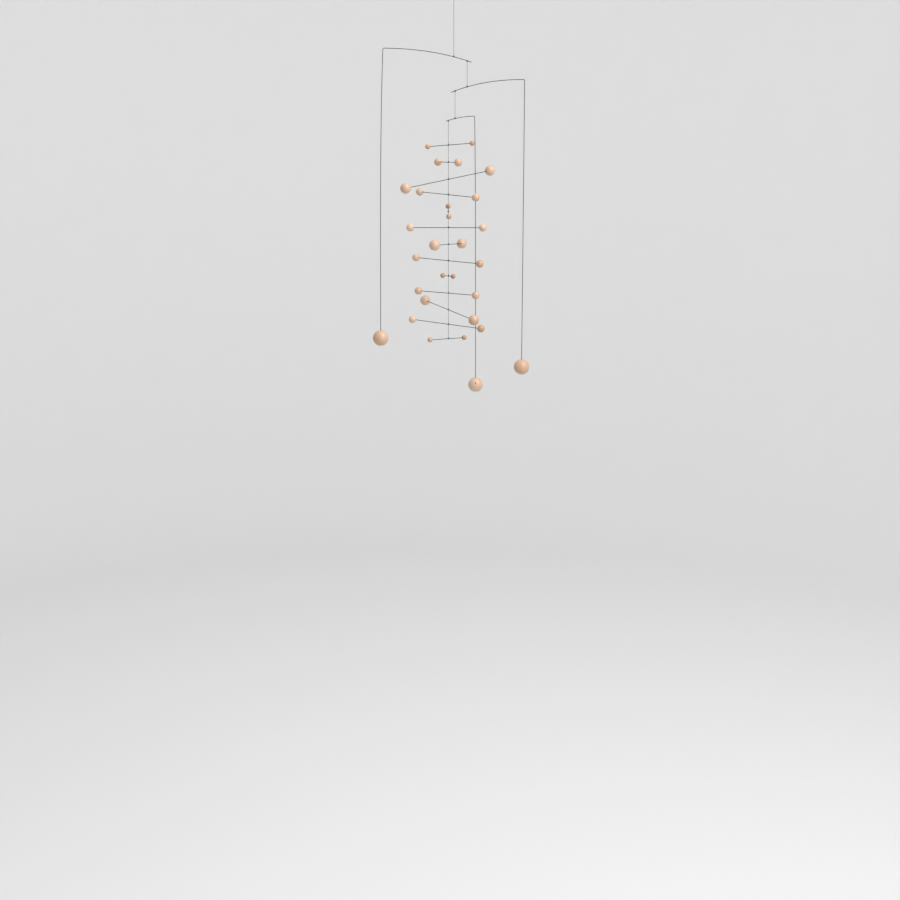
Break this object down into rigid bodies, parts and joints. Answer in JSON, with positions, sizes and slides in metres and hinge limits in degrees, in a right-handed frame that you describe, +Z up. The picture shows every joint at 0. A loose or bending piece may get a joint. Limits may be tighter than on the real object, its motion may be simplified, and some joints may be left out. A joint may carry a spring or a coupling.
{
  "type": "hanging mobile",
  "caption": "Hanging mobile: turned wooden balls on bent wire arms hung one inside the next, round a central thread of short rods tipped with smaller balls.",
  "frame": {"origin": "inside the top of the tied hanging loop, where it bears on the hook or pin that holds the mobile", "axes": "+Z up along the hanging thread, +X to the viewer's right and +Y away from the viewer in the turned state that the picture shows"},
  "size_m": [0.3011, 0.2291, 0.8032],
  "materials": {
    "beech": "turned beech, sanded and waxed, fine open grain",
    "wire": "dark drawn spring wire, satin",
    "thread": "twisted grey thread, matt, knots set with a drop of glue"
  },
  "bodies": {
    "suspension": {"hanging_thread": "thread"},
    "outer_arm": {"outer_arm_hitch": "thread", "outer_arm_wire": "wire", "outer_arm_ball": "beech", "middle_thread": "thread"},
    "middle_arm": {"middle_arm_hitch": "thread", "middle_arm_wire": "wire", "middle_arm_ball": "beech", "inner_thread": "thread"},
    "inner_arm": {"inner_arm_hitch": "thread", "inner_arm_wire": "wire", "inner_arm_ball": "beech", "column_top_knot": "thread"},
    "column": {"column_thread": "thread", "rod_01": "wire", "rod_01_ball_left": "beech", "rod_01_ball_right": "beech", "rod_02": "wire", "rod_02_ball_left": "beech", "rod_02_ball_right": "beech", "rod_03": "wire", "rod_03_ball_left": "beech", "rod_03_ball_right": "beech", "rod_04": "wire", "rod_04_ball_left": "beech", "rod_04_ball_right": "beech", "rod_05": "wire", "rod_05_ball_left": "beech", "rod_05_ball_right": "beech", "rod_06": "wire", "rod_06_ball_left": "beech", "rod_06_ball_right": "beech", "rod_07": "wire", "rod_07_ball_left": "beech", "rod_07_ball_right": "beech", "rod_08": "wire", "rod_08_ball_left": "beech", "rod_08_ball_right": "beech", "rod_09": "wire", "rod_09_ball_left": "beech", "rod_09_ball_right": "beech", "rod_10": "wire", "rod_10_ball_left": "beech", "rod_10_ball_right": "beech", "rod_11": "wire", "rod_11_ball_left": "beech", "rod_11_ball_right": "beech", "rod_12": "wire", "rod_12_ball_left": "beech", "rod_12_ball_right": "beech", "rod_13": "wire", "rod_13_ball_left": "beech", "rod_13_ball_right": "beech"}
  },
  "joints": [
    {"name": "outer_arm_turn", "type": "hinge", "parent": "suspension", "child": "outer_arm", "pos_m": [0, 0, -0.14], "axis": [0, 0, 1], "continuous": true},
    {"name": "middle_arm_turn", "type": "hinge", "parent": "outer_arm", "child": "middle_arm", "pos_m": [0.02517, 0.01227, -0.19436], "axis": [0, 0, 1], "continuous": true},
    {"name": "inner_arm_turn", "type": "hinge", "parent": "middle_arm", "child": "inner_arm", "pos_m": [0.00243, 0.02488, -0.2529], "axis": [0, 0, 1], "continuous": true},
    {"name": "column_turn", "type": "hinge", "parent": "inner_arm", "child": "column", "pos_m": [-0.01029, -0.00119, -0.25601], "axis": [0, 0, 1], "continuous": true}
  ]
}
